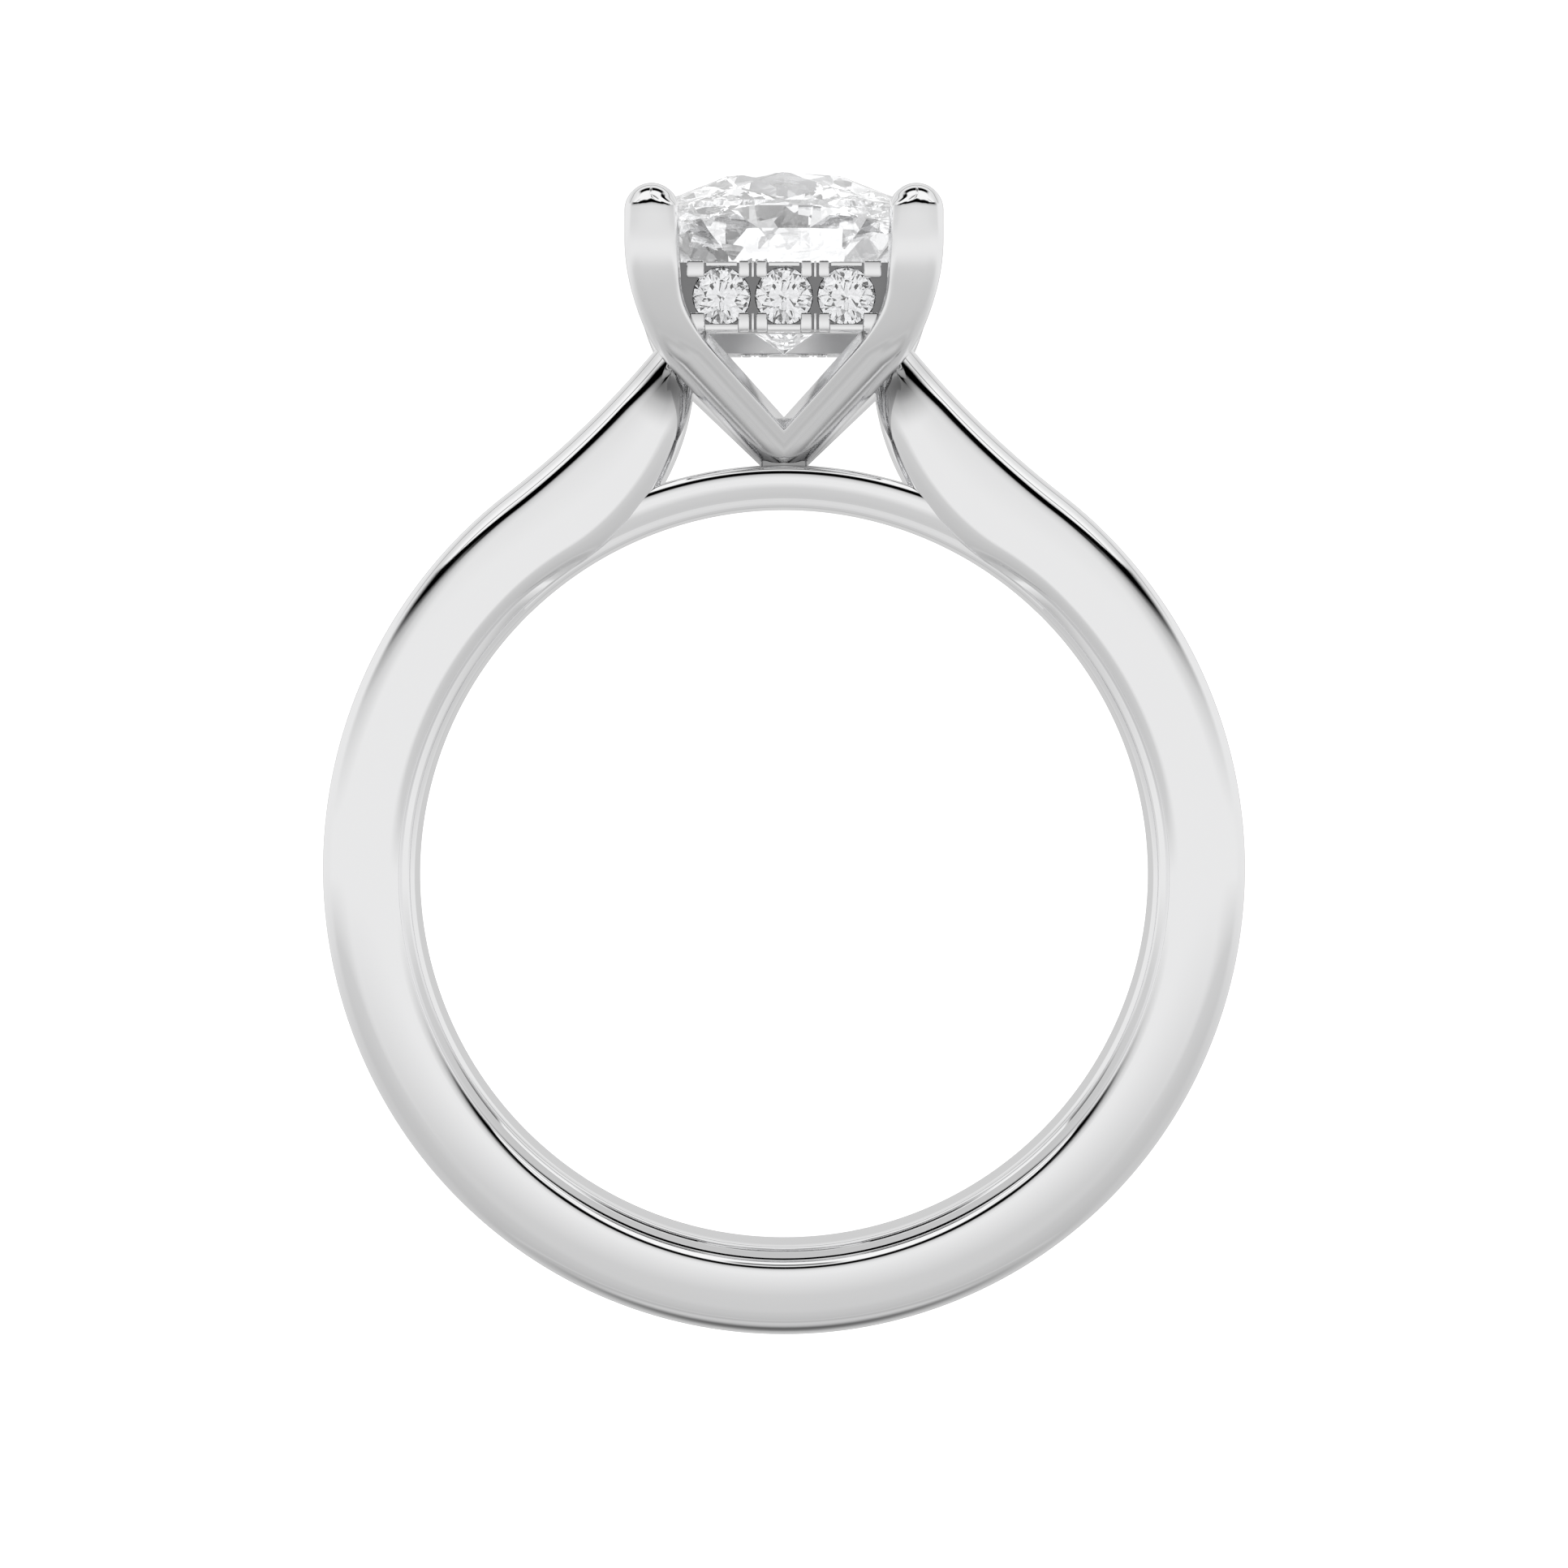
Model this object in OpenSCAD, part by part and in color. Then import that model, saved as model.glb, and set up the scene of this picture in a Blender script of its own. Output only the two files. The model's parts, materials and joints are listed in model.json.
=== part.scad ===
// Cathedral setting ring: a plain shank whose shoulders rise to a four-prong head with a hidden halo.
// It is drawn upright, with the finger hole along Y and the head towards +Z, and laid on its side last.

/* [Shank] */
// Radius of the finger hole
hole_r = 8.3; // [8.1:0.05:8.4]
// Thickness of the shank at its bottom, from the hole to the outside
band_t = 2.06; // [2:0.01:2.15]
// Width of the shank along the finger
band_w = 2.0; // [1.8:0.05:2.4]
// Radius of the two rounded outer edges of the shank
outer_round = 0.65; // [0.4:0.05:0.75]
// Radius of the easing where the hole meets the side faces
comfort_r = 0.55; // [0.52:0.01:0.7]
// Width of the part of the hole that is a plain cylinder
bore_w = 1.0; // [0.9:0.05:1.2]

/* [Shoulders] */
// Radius of the outside of the upper half of the shank, a little larger than that of the bottom
side_r = 10.69; // [10.6:0.01:10.8]
// Angle below the level line at which the upper half starts
side_start = 28.3; // [24:0.1:32]
// Angle above the level line at which the shoulders leave the round of the shank
leave_angle = 52.2; // [51:0.1:53]
// Radius of the hollow curve of each shoulder up to the head
sweep_r = 21.6; // [20:0.1:23]
// Radius of the bulging inner edge of each shoulder, beside the window under the head
inner_r = 5.5; // [5:0.1:6]
// Angle above the level line at which that inner edge leaves the finger hole
inner_angle = 57; // [56:0.1:58.5]
// Radius of the rounded inner edges of the shoulders
inner_round = 0.45; // [0.3:0.05:0.6]

/* [Bridge] */
// Thickness of the bridge between the hole and its front edge
bridge_t = 0.79; // [0.7:0.01:0.9]
// Width of the bridge along the finger
bridge_w = 1.6; // [1.3:0.05:1.8]
// Height of the rounded top of the bridge above its edges
bridge_rise = 0.21; // [0.1:0.01:0.3]

/* [Prongs] */
// Distance of each prong's centre from the middle of the head, both across and along the finger
prong_at = 2.89; // [2.86:0.01:2.95]
// Thickness of the upright part of a prong
prong_w = 1.2; // [1.16:0.01:1.24]
// Thickness of a prong's leg, which is thinner than the prong almost only on its inner side
leg_w = 1.06; // [1:0.01:1.12]
// Radius of the outward corner of a prong
prong_outer_round = 0.4; // [0.3:0.01:0.45]
// Radius of the other corners of a prong
prong_round = 0.2; // [0.12:0.01:0.25]
// Height of the prong tips above the centre of the finger hole
prong_top = 15.2; // [15.15:0.01:15.3]
// Radius of the two crossed arches that a prong tip ends in
tip_r = 1; // [0.9:0.01:1.1]
// Height at which the straight part of a prong ends and its leg begins to curve in
curve_top = 13.99; // [13.9:0.01:14.1]
// Radius of the curve between a prong and its leg
curve_r = 2.8; // [2.7:0.01:2.9]
// Angle that a leg turns through from upright
leg_turn = 54.2; // [52:0.1:56]

/* [Foot] */
// Radius of the foot that the legs stand on
foot_r = 0.68; // [0.5:0.01:0.9]

/* [Gallery] */
// Distance of the gallery's outer faces from the middle of the head
gallery_at = 2.8; // [2.75:0.01:2.9]
// Thickness of the gallery walls
gallery_t = 0.75; // [0.6:0.01:0.8]
// Height of the gallery's lower edge above the centre of the finger hole
gallery_z = 12.01; // [11.9:0.01:12.1]
// Height of the gallery walls
gallery_h = 1.52; // [1.48:0.01:1.6]
// Depth of the notches above and below each small stone
notch_d = 0.14; // [0.08:0.01:0.2]
// Width of the notches above and below each small stone
notch_w = 0.74; // [0.5:0.01:0.8]
// Width of the slits between neighbouring beads
slit_w = 0.13; // [0.08:0.01:0.2]
// Depth of the slits and of the hollows between the stones
slit_d = 0.3; // [0.2:0.01:0.4]
// Height of the beads along the upper and lower edge of the gallery
bead_h = 0.4; // [0.3:0.01:0.45]

/* [Halo stones] */
// Diameter of a small stone
halo_d = 1.25; // [1:0.01:1.3]
// Distance between the centres of neighbouring small stones
halo_pitch = 1.36; // [1.33:0.01:1.4]
// Width of a small stone's table
halo_table = 0.68; // [0.6:0.01:0.75]
// Height of a small stone's table above its girdle
halo_crown = 0.19; // [0.15:0.01:0.22]
// Thickness of a small stone's girdle
halo_girdle = 0.04; // [0.03:0.01:0.06]
// Depth of a small stone below its girdle
halo_pavilion = 0.52; // [0.45:0.01:0.55]

/* [Centre stone] */
// Width of the centre stone both ways
stone_w = 6.4; // [6.2:0.05:6.6]
// Radius of the rounded corners of the centre stone
stone_corner = 2.4; // [2.2:0.1:2.5]
// Width of the centre stone's table
stone_table = 3.84; // [3.4:0.01:4.2]
// Height of the middle of the girdle above the centre of the finger hole
stone_z = 14.72; // [14.6:0.01:14.8]
// Thickness of the girdle
stone_girdle = 0.12; // [0.08:0.01:0.2]
// Height of the table above the girdle
stone_crown = 0.82; // [0.7:0.01:0.95]
// Depth of the culet below the girdle
stone_pavilion = 2.9; // [2.7:0.01:3]
// Gap between a stone and the metal that holds it
stone_gap = 0.03; // [0.02:0.01:0.05]

/* [Hidden] */
$fn = 96;
halo_n = 3;
metal = [0.86, 0.87, 0.88];
gem = [0.93, 0.96, 1.0];
bite = 0.2;
far = 12;
// How far a leg's outer faces lie inside those of its prong
inset = 0.02;

band_r = hole_r + band_t;
bridge_r = hole_r + bridge_t;
arm_depth = band_w * 2;

// Centre of the upper half's round, for the left side
side_c = [(side_r - band_r) * cos(side_start), (side_r - band_r) * sin(side_start)];
// Centre of the hollow curve, which meets that round without a corner
sweep_c = [side_c[0] - (side_r + sweep_r) * cos(leave_angle), side_c[1] + (side_r + sweep_r) * sin(leave_angle)];
// Centre of the bulging inner edge, which touches the finger hole
inner_c = [-(hole_r + inner_r) * cos(inner_angle), (hole_r + inner_r) * sin(inner_angle)];

// A leg's curve lies in the upright plane through the prong and the middle of the head
half_prong = prong_w / 2;
half_leg = leg_w / 2;
prong_s = prong_at * sqrt(2);
curve_s = (prong_at + half_prong - inset - half_leg) * sqrt(2) - curve_r;
leg_s = curve_s + curve_r * cos(leg_turn);
leg_z = curve_top - curve_r * sin(leg_turn);
leg_len = leg_s / sin(leg_turn);
leg_end_z = leg_z - leg_len * cos(leg_turn);

// Lean of the ring on its side, from the edge of the band and the curve of two prongs
first_lean = atan((prong_at + half_prong - band_w / 2) / (curve_top + band_r));
touch = atan(sqrt(2) * tan(first_lean));
touch_y = (curve_s + curve_r * cos(touch)) / sqrt(2) + half_leg * (1 + cos(touch)) / 2;
touch_z = curve_top - (curve_r + half_leg / sqrt(2)) * sin(touch);
lean_y = touch_y - band_w / 2 + outer_round;
lean_z = touch_z + band_r - outer_round;
lean = acos(outer_round / norm([lean_y, lean_z])) - atan2(lean_z, lean_y);
floor_at = touch_y * cos(lean) - touch_z * sin(lean);

// Angle at which a shoulder ends, inside the gallery wall
shoulder_end = -37;
// Turn by which a shoulder's foot runs into its neighbours
collar_turn = 1;

// Each arch of a prong tip is the part that two circles share, and it springs from just outside the prong
arch_at = tip_r - half_prong - inset;
tip_z = prong_top - sqrt(tip_r * tip_r - arch_at * arch_at);
halo_z = gallery_z + gallery_h / 2;
// Height at which the shoulders end, inside the gallery walls and clear of the small stones
shoulder_top = halo_z - halo_d / 2 - 2 * stone_gap;
gallery_len = 2 * (prong_at - half_prong + bead_h / 2);
hollow_d = slit_d / 2;

// How far the stars reach down the crown
star_share = 0.5;
// Distance from the culet at which the pavilion's lower halves end, as a share of half the stone
low_share = 0.24;

// The ring's two ends along Y once it lies, from which it is set about the middle
table_z = stone_z + stone_girdle / 2 + stone_crown;
lie_front = table_z * cos(lean) + stone_table / 2 * sin(lean);
lie_back = outer_round + (band_r - outer_round) * cos(lean) + (band_w / 2 - outer_round) * sin(lean);
lie_y = (lie_back - lie_front) / 2;

// A bar's section, with its metal from x = 0 to x = depth and two rounded corners at x = 0
module edge_section(width, depth, round_r) {
    flat_w = width - 2 * round_r;
    translate([round_r, -width / 2]) square([depth - round_r, width]);
    translate([0, -flat_w / 2]) square([depth, flat_w]);
    for (side = [-1, 1])
        translate([round_r, side * flat_w / 2]) circle(r = round_r);
}

// Turns a section about an axis along the finger, from one angle to another above the +X direction
module sweep(centre, from, to) {
    translate([centre[0], 0, centre[1]]) rotate([90, 0, 0])
        rotate_extrude(start = from, angle = to - from) children();
}

module both_sides() {
    children();
    mirror([1, 0, 0]) children();
}

module shank() {
    sweep([0, 0], 180 + side_start, 360 - side_start)
        translate([band_r, 0]) mirror([1, 0]) edge_section(band_w, band_t + bite, outer_round);
    both_sides()
        sweep(side_c, 180 - leave_angle, 180 + side_start)
            translate([side_r, 0]) mirror([1, 0]) edge_section(band_w, side_r - hole_r + 2 * bite, outer_round);
}

// One shoulder: the hollow sweep of its outside, trimmed by the bulging round of its inside
module shoulder() {
    intersection() {
        sweep(sweep_c, -leave_angle, shoulder_end)
            translate([sweep_r, 0]) edge_section(band_w, arm_depth, outer_round);
        sweep(inner_c, -180, 180)
            translate([inner_r, 0]) mirror([1, 0]) edge_section(band_w, arm_depth, inner_round);
        translate([-far, -band_w, 0]) cube([far, 2 * band_w, shoulder_top]);
    }
    sweep([0, 0], 180 - inner_angle - collar_turn, 180 - leave_angle + collar_turn)
        translate([hole_r - bite, -band_w / 2]) square([bridge_t + bite, band_w]);
}

module bridge_section() {
    dome_r = (pow(bridge_w / 2, 2) + pow(bridge_rise, 2)) / (2 * bridge_rise);
    translate([hole_r - bite, -bridge_w / 2]) square([bridge_t + bite, bridge_w]);
    intersection() {
        translate([bridge_r + bridge_rise - dome_r, 0]) circle(r = dome_r);
        translate([bridge_r - bite, -bridge_w / 2]) square([bridge_rise + 2 * bite, bridge_w]);
    }
}

module bridge() {
    sweep([0, 0], leave_angle, 180 - leave_angle) bridge_section();
}

// A square section with rounded corners, of which the outward one points along +x
module prong_section(width) {
    half = width / 2;
    rotate(45) difference() {
        square(width, center = true);
        for (turn = [0 : 3]) {
            round_r = turn == 0 ? prong_outer_round : prong_round;
            rotate(turn * 90) translate([half - round_r, round_r - half]) difference() {
                translate([0, -round_r - bite]) square(round_r + bite);
                circle(r = round_r);
            }
        }
    }
}

// An arch that runs along the finger over a prong, and springs from z = 0
module arch() {
    rotate([90, 0, 0]) linear_extrude(2 * prong_w, center = true) {
        translate([-prong_w, curve_top - tip_z - bite]) square([2 * prong_w, tip_z - curve_top + bite]);
        intersection() {
            translate([-arch_at, 0]) circle(r = tip_r);
            translate([arch_at, 0]) circle(r = tip_r);
        }
    }
}

// One prong and its leg, in the upright plane towards +X
module prong() {
    translate([prong_s, 0, tip_z]) intersection() {
        translate([0, 0, curve_top - tip_z]) linear_extrude(prong_top - curve_top) prong_section(prong_w);
        rotate([0, 0, 45]) arch();
        rotate([0, 0, -45]) arch();
    }
    translate([curve_s + curve_r, 0, curve_top]) linear_extrude(bite) prong_section(leg_w);
    sweep([curve_s, curve_top], -leg_turn, 0) translate([curve_r, 0]) prong_section(leg_w);
    translate([0, 0, leg_end_z]) rotate([0, leg_turn, 0])
        linear_extrude(leg_len + bite) prong_section(leg_w - inset);
}

module foot() {
    translate([0, 0, hole_r + bite]) cylinder(r = foot_r, h = leg_end_z + bite - hole_r);
}

// Places its children in front of the middle of each small stone of one side
module each_halo() {
    for (i = [0 : halo_n - 1])
        translate([(i - (halo_n - 1) / 2) * halo_pitch, -gallery_at, halo_z]) children();
}

// The hole behind a small stone, open to the front and to the inside
module halo_hole() {
    hole = halo_d / 2 + stone_gap;
    girdle_y = halo_crown + halo_girdle + stone_gap;
    rotate([-90, 0, 0]) {
        translate([0, 0, -bite]) cylinder(r = hole, h = bite + girdle_y);
        translate([0, 0, girdle_y]) cylinder(r1 = hole, r2 = hole / 4, h = halo_pavilion);
        translate([0, 0, girdle_y]) cylinder(r = hole / 4, h = gallery_t);
    }
}

module gallery_side() {
    difference() {
        translate([-gallery_len / 2, -gallery_at, gallery_z]) cube([gallery_len, gallery_t, gallery_h]);
        each_halo() {
            halo_hole();
            for (up = [-1, 1])
                translate([-notch_w / 2, -bite, up * gallery_h / 2 - notch_d])
                    cube([notch_w, slit_d + bite, 2 * notch_d]);
        }
        for (i = [0 : halo_n])
            translate([(i - halo_n / 2) * halo_pitch - slit_w / 2, -gallery_at - bite, gallery_z - bite])
                cube([slit_w, slit_d + bite, gallery_h + 2 * bite]);
        translate([-gallery_len, -gallery_at - bite, gallery_z + bead_h])
            cube([2 * gallery_len, bite + hollow_d, gallery_h - 2 * bead_h]);
    }
}

module bore_cut() {
    rotate([90, 0, 0]) rotate_extrude() {
        translate([0, -band_w]) square([hole_r, 2 * band_w]);
        for (side = [0, 1])
            mirror([0, side]) difference() {
                translate([0, bore_w / 2]) square([hole_r + comfort_r, band_w]);
                translate([hole_r + comfort_r, bore_w / 2]) circle(r = comfort_r);
            }
    }
}

// Distance from the middle of a rounded square to its edge, square to the direction az
function reach(half, corner, az) = (half - corner) * (abs(cos(az)) + abs(sin(az))) + corner;

// All that lies above a plane that leans by tilt, through the point at distance r and height z
module above(az, r, z, tilt) {
    rotate([0, 0, az]) translate([r, 0, z]) rotate([0, tilt, 0])
        translate([-far / 2, -far / 2, 0]) cube([far, far, far / 2]);
}

module rounded_square(half, corner) {
    for (turn = [0, 90])
        rotate(turn) square([2 * half, 2 * (half - corner)], center = true);
    for (x = [-1, 1], y = [-1, 1])
        translate([x, y] * (half - corner)) circle(r = corner);
}

// The space of a stone's girdle and its eight crown and pavilion mains, with the girdle's middle at z = 0
module stone_space(half, corner, table, girdle, crown, pavilion) {
    difference() {
        translate([0, 0, -girdle / 2 - pavilion]) linear_extrude(pavilion + girdle + crown)
            rounded_square(half, corner);
        for (az = [0 : 45 : 315]) {
            side = reach(half, corner, az);
            above(az, side, girdle / 2, atan(crown / (side - table)));
            mirror([0, 0, 1]) above(az, side, girdle / 2, atan(pavilion / side));
        }
    }
}

// Distance from the middle of a rounded square to its edge, in the direction az
function edge_at(half, corner, az) =
    let (x = abs(cos(az)), y = abs(sin(az)), flat = half - corner)
    half * min(x, y) <= flat * max(x, y) ? half / max(x, y)
        : flat * (x + y) + sqrt(pow(flat * (x + y), 2) - 2 * flat * flat + corner * corner);

function at(az, r, z) = [r * cos(az), r * sin(az), z];

// A cut stone with its table up and the middle of its girdle at the origin: a table, eight stars,
// eight kites and a row of breaks above the girdle, a row of lower halves and eight mains below it
module cut_stone(half, corner, table_r, girdle, crown, pavilion, steps) {
    count = 8 * steps;
    girdle_z = girdle / 2;
    side = reach(half, corner, 0);
    far_side = reach(half, corner, 45);
    star_side = side - star_share * (side - table_r);
    star_far = far_side - star_share * (far_side - table_r);
    star_az = atan((star_far / star_side - cos(45)) / sin(45));
    star_r = star_side / cos(star_az);
    star_z = girdle_z + crown * star_share;
    low_az = atan((far_side / side - cos(45)) / sin(45));
    low_r = side * low_share;
    low_z = -girdle_z - pavilion * (1 - low_r * cos(low_az) / side);
    table = [for (k = [0 : 7]) at(k * 45, table_r, girdle_z + crown)];
    stars = [for (k = [0 : 7]) at(k * 45 + (k % 2 == 0 ? star_az : 45 - star_az), star_r, star_z)];
    upper = [for (j = [0 : count - 1]) at(j * 360 / count, edge_at(half, corner, j * 360 / count), girdle_z)];
    lower = [for (p = upper) [p[0], p[1], -girdle_z]];
    lows = [for (k = [0 : 7]) at(k * 45 + (k % 2 == 0 ? low_az : 45 - low_az), low_r, low_z)];
    star_0 = 8;
    upper_0 = 16;
    lower_0 = upper_0 + count;
    low_0 = lower_0 + count;
    culet = low_0 + 8;
    polyhedron(
        points = concat(table, stars, upper, lower, lows, [[0, 0, -girdle_z - pavilion]]),
        faces = concat(
            [[for (k = [7 : -1 : 0]) k]],
            [for (k = [0 : 7]) [k, (k + 1) % 8, star_0 + k]],
            [for (k = [0 : 7]) [k, star_0 + k, upper_0 + k * steps]],
            [for (k = [0 : 7]) [k, upper_0 + k * steps, star_0 + (k + 7) % 8]],
            [for (j = [0 : count - 1])
                [star_0 + floor(j / steps), upper_0 + (j + 1) % count, upper_0 + j]],
            [for (j = [0 : count - 1]) [upper_0 + j, upper_0 + (j + 1) % count, lower_0 + j]],
            [for (j = [0 : count - 1]) [upper_0 + (j + 1) % count, lower_0 + (j + 1) % count, lower_0 + j]],
            [for (j = [0 : count - 1])
                [low_0 + floor(j / steps), lower_0 + j, lower_0 + (j + 1) % count]],
            [for (k = [0 : 7]) [culet, lower_0 + k * steps, low_0 + k]],
            [for (k = [0 : 7]) [culet, low_0 + (k + 7) % 8, lower_0 + k * steps]]
        )
    );
}

// Lays the upright ring on its side, on the band and two prongs, with the head towards +Y
module laid() {
    translate([0, lie_y, floor_at]) rotate([lean - 90, 0, 0]) children();
}

module ring_mount() {
    color(metal) laid() difference() {
        union() {
            shank();
            both_sides() shoulder();
            bridge();
            foot();
            for (turn = [45 : 90 : 315]) rotate([0, 0, turn]) prong();
            for (turn = [0 : 90 : 270]) rotate([0, 0, turn]) gallery_side();
        }
        bore_cut();
        translate([0, 0, stone_z])
            stone_space(stone_w / 2 + stone_gap, stone_corner + stone_gap, stone_table / 2 + stone_gap,
                stone_girdle + 2 * stone_gap, stone_crown, stone_pavilion);
    }
}

module center_stone() {
    color(gem) laid() translate([0, 0, stone_z])
        cut_stone(stone_w / 2, stone_corner, stone_table / 2, stone_girdle, stone_crown, stone_pavilion, 4);
}

module halo_stone(n) {
    side = floor((n - 1) / halo_n);
    i = (n - 1) % halo_n;
    color(gem) laid() rotate([0, 0, side * 90])
        translate([(i - (halo_n - 1) / 2) * halo_pitch, -gallery_at + halo_crown + halo_girdle / 2, halo_z])
            rotate([90, 0, 0])
                cut_stone(halo_d / 2, halo_d / 2, halo_table / 2, halo_girdle, halo_crown, halo_pavilion, 2);
}

ring_mount();
center_stone();
halo_stone(1);  // halo_stone_01
halo_stone(2);  // halo_stone_02
halo_stone(3);  // halo_stone_03
halo_stone(4);  // halo_stone_04
halo_stone(5);  // halo_stone_05
halo_stone(6);  // halo_stone_06
halo_stone(7);  // halo_stone_07
halo_stone(8);  // halo_stone_08
halo_stone(9);  // halo_stone_09
halo_stone(10);  // halo_stone_10
halo_stone(11);  // halo_stone_11
halo_stone(12);  // halo_stone_12
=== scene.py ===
# Looks of the cathedral setting ring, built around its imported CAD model.
# Shapes are worked out in millimetres on the upright ring: X to the right, Y away from the camera
# along the finger, Z towards the head. lay() turns them onto the ring's side and into metres.
import json
import math

import bmesh
import bpy
from mathutils import Matrix, Vector


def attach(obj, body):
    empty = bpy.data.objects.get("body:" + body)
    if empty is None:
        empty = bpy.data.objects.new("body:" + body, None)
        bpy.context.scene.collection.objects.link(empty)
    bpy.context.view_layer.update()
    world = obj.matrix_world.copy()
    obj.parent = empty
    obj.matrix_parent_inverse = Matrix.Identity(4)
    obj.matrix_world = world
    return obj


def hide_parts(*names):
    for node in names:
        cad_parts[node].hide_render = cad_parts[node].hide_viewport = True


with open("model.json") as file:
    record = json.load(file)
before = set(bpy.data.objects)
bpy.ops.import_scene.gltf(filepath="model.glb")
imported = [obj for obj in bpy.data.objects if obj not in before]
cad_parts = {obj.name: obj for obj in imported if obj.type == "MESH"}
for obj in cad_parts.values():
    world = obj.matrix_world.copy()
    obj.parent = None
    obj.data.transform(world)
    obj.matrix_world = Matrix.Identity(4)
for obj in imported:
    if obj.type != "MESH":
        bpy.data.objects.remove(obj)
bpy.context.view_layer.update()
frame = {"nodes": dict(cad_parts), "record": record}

MM = 0.001
# How the ring lies: where the middle of the finger hole is, and how far the hole leans off upright
bore = next(mount for mount in frame["record"]["mounts"] if mount["name"] == "finger_bore")
HOLE_AT = Vector(bore["pos_m"]) / MM
LEAN = math.asin(-bore["axis"][1])
LAID = Matrix.Translation(HOLE_AT) @ Matrix.Rotation(LEAN - math.pi / 2, 4, "X")
UP = (LAID.to_3x3() @ Vector((0, 0, 1))).normalized()
NEAR = (LAID.to_3x3() @ Vector((0, -1, 0))).normalized()


def polar(centre, radius, degrees):
    """A point at an angle above the left-hand level line."""
    a = math.radians(degrees)
    return (centre[0] - radius * math.cos(a), centre[1] + radius * math.sin(a))


# Shank and shoulders, with angles above the level line; the visible band ends just inside the CAD's
HOLE_R = bore["dims"]["r_mm"]
CAD_BAND_R = 10.36
BAND_R = CAD_BAND_R - 0.001
HALF_W = 1.0
OUTER_ROUND = 0.65
BORE_HALF = 0.5
SIDE_BULGE = 0.012
TAPER_FROM = 10.2
TAPER = 0.05
COMFORT_R = 0.55
SIDE_R = 10.69
SIDE_START = 28.3
LEAVE = 52.2
SWEEP_R = 21.6
SWEEP_END = 37.6
INNER_R = 5.5
INNER_START = 57.0
INNER_END = 5.5
# Centres of the upper half's round, of the hollow curve up to the head and of the bulging inner edge
SIDE_C = polar((0, 0), CAD_BAND_R - SIDE_R, -SIDE_START)
SWEEP_C = polar(SIDE_C, SIDE_R + SWEEP_R, LEAVE)
INNER_C = polar((0, 0), HOLE_R + INNER_R, INNER_START)

# Prongs and legs, whose curves lie in the upright planes through the head's corners
PRONG_FACE = 3.47
PRONG_HALF = 0.6
TIP_ROUND = 0.57
CURVE_HALF = 0.53
LEG_HALF = 0.55
LEG_OUT = 0.1035
FACE_BULGE = 0.014
CURVE_TOP = 13.99
CURVE_R = 2.8
CURVE_S = (PRONG_FACE - CURVE_HALF) * math.sqrt(2) - CURVE_R
LEG_TURN = 54.2
TIP_Z = 14.6
PRONG_TOP = 15.19
# Heights and half widths of the foot
FOOT_RINGS = ((8.7, 0.64), (9.1, 0.62), (9.3, 0.6), (9.6, 0.6), (9.75, 0.5))
FOOT_ROUND = 0.2

# Gallery and stones
GALLERY_AT = 2.8
GALLERY_Z = 12.01
GALLERY_H = 1.52
GALLERY_HALF = 2.49
HALO_PITCH = 1.36
HALO_Z = GALLERY_Z + GALLERY_H / 2
STONE_Z = 14.72
# Half width, corner radius, table radius, girdle, crown and pavilion of the centre stone
CUSHION = (3.2, 2.4, 1.75, 0.12, 0.819, 2.88)


def lay(p):
    """A point of the upright ring, in the row's frame and in metres."""
    return (LAID @ Vector(p)) * MM


def smooth(t):
    """An eased step from 0 to 1."""
    t = min(max(t, 0.0), 1.0)
    return t * t * (3 - 2 * t)


def piece(name, verts, faces, material, sharp=12.0):
    """A mesh object in the row's frame that rides on the part; with sharp = 0 it is faceted."""
    mesh = bpy.data.meshes.new(name)
    mesh.from_pydata([lay(v) for v in verts], [], faces)
    bm = bmesh.new()
    bm.from_mesh(mesh)
    bmesh.ops.remove_doubles(bm, verts=bm.verts, dist=1e-8)
    bmesh.ops.recalc_face_normals(bm, faces=bm.faces)
    bm.to_mesh(mesh)
    bm.free()
    if sharp:
        mesh.shade_smooth()
        mesh.set_sharp_from_angle(angle=math.radians(sharp))
    mesh.materials.append(material)
    obj = bpy.data.objects.new(name, mesh)
    bpy.context.scene.collection.objects.link(obj)
    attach(obj, "root")
    return obj


def loft(rings):
    """Quads between closed rings of equal length, with a face at each end."""
    n = len(rings[0])
    verts = [p for ring in rings for p in ring]
    faces = []
    for i in range(len(rings) - 1):
        for j in range(n):
            k = (j + 1) % n
            faces.append((i * n + j, i * n + k, (i + 1) * n + k, (i + 1) * n + j))
    faces.append(tuple(range(n)))
    faces.append(tuple(range((len(rings) - 1) * n, len(rings) * n)))
    return verts, faces


def joined(parts):
    """Several (verts, faces) lists as one."""
    verts, faces = [], []
    for v, f in parts:
        base = len(verts)
        verts += v
        faces += [tuple(base + i for i in face) for face in f]
    return verts, faces


# Materials

def calc(tree, op, *values):
    """A math node on numbers or sockets."""
    node = tree.nodes.new("ShaderNodeMath")
    node.operation = op
    for i, v in enumerate(values):
        if isinstance(v, (int, float)):
            node.inputs[i].default_value = v
        else:
            tree.links.new(v, node.inputs[i])
    return node.outputs[0]


def dot(tree, vector, axis):
    """The share of a direction or place along an axis."""
    node = tree.nodes.new("ShaderNodeVectorMath")
    node.operation = "DOT_PRODUCT"
    tree.links.new(vector, node.inputs[0])
    node.inputs[1].default_value = axis
    return node.outputs["Value"]


def vector_calc(tree, op, first, second):
    """A vector math node on two vectors, or on a vector and a factor, as numbers or sockets."""
    node = tree.nodes.new("ShaderNodeVectorMath")
    node.operation = op
    for socket, value in ((node.inputs[0], first), (node.inputs["Scale" if op == "SCALE" else 1], second)):
        if isinstance(value, (int, float, tuple)):
            socket.default_value = value
        else:
            tree.links.new(value, socket)
    return node.outputs["Vector"]


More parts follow.
